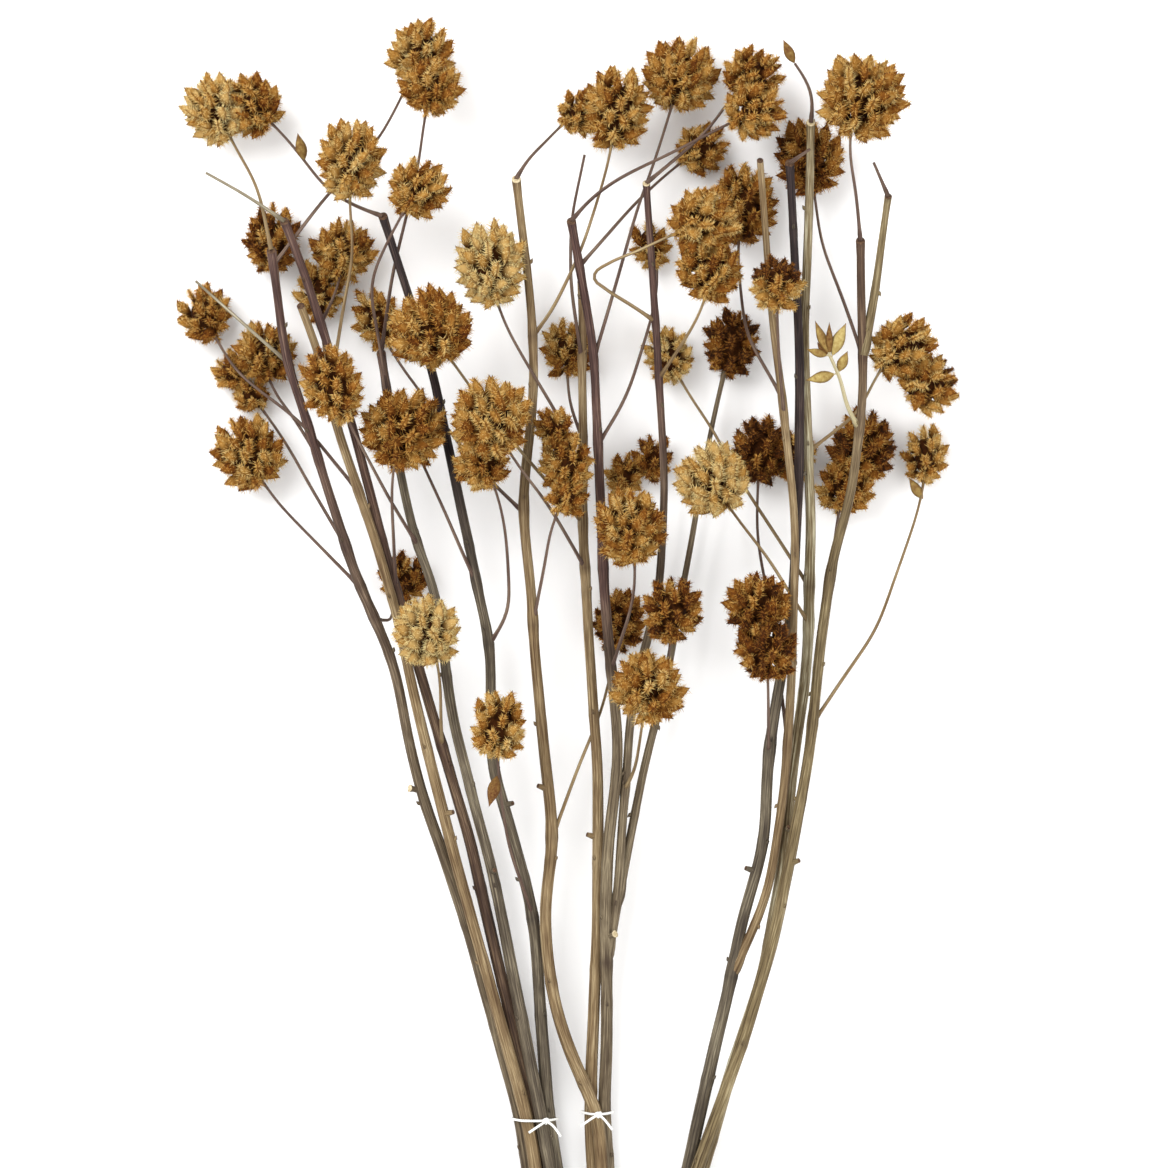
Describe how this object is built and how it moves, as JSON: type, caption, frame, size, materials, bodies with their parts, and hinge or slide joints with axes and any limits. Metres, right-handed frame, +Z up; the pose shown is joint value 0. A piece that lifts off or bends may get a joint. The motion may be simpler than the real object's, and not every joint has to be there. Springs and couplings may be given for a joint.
{
  "type": "dried seed head bunch",
  "caption": "Sheaf of dried, branching plant stems with spiny oval seed heads, tied into bundles with thin string and laid down as a fan.",
  "frame": {"origin": "on the surface that the sheaf lies on, below the middle of its bounding box", "axes": "+Z up from the surface, +Y along the stems from their cut lower ends towards the seed heads, +X to the right when seen from above with the heads up the page"},
  "size_m": [0.4733, 0.8196, 0.1204],
  "materials": {
    "bark": "dry, ridged, dark purple-brown",
    "tan_bark": "dry, ridged, tan",
    "pods": "dry, bristly, golden brown",
    "pale_pods": "dry, bristly, pale gold",
    "unripe_pods": "dry, smooth, straw-coloured",
    "string": "thin, twisted, white"
  },
  "bodies": {
    "root": {"head_left_broad": "pods", "head_left_dark": "pods", "head_left_edge": "pods", "head_left_large": "pods", "head_left_long": "pods", "head_left_low": "pods", "head_left_peak": "pods", "head_left_round": "pods", "head_left_shade": "pods", "head_left_small": "pods", "head_low_dark": "pods", "head_low_front": "pods", "head_low_shade": "pods", "head_lowest": "pods", "head_middle_front": "pods", "head_middle_shade": "pods", "head_middle_side": "pods", "head_middle_small": "pods", "head_pale_left": "pale_pods", "head_pale_peak": "pale_pods", "head_pale_right": "pale_pods", "head_right_back": "pods", "head_right_cup": "pods", "head_right_darkest": "pods", "head_right_edge": "pods", "head_right_shade": "pods", "head_right_tall": "pods", "head_top_middle": "pods", "head_top_right": "pods", "heads_far_left": "pods", "heads_far_right": "pods", "heads_left_cluster": "pods", "heads_left_inner": "pods", "heads_left_pair": "pods", "heads_middle_column": "pods", "heads_middle_low": "pods", "heads_middle_top": "pods", "heads_right_dark": "pods", "heads_right_inner": "pale_pods", "heads_right_last": "pods", "heads_right_low": "pods", "heads_top_left": "pods", "heads_top_right": "pods", "stem_left_1": "bark", "stem_left_2": "bark", "stem_left_3": "bark", "stem_left_4": "bark", "stem_left_5": "bark", "stem_middle_1": "tan_bark", "stem_middle_2": "tan_bark", "stem_middle_3": "bark", "stem_right_1": "bark", "stem_right_3": "tan_bark", "stem_right_4": "tan_bark", "string_left": "string", "string_middle": "string", "string_right": "string", "unripe_shoot": "unripe_pods"}
  },
  "joints": []
}
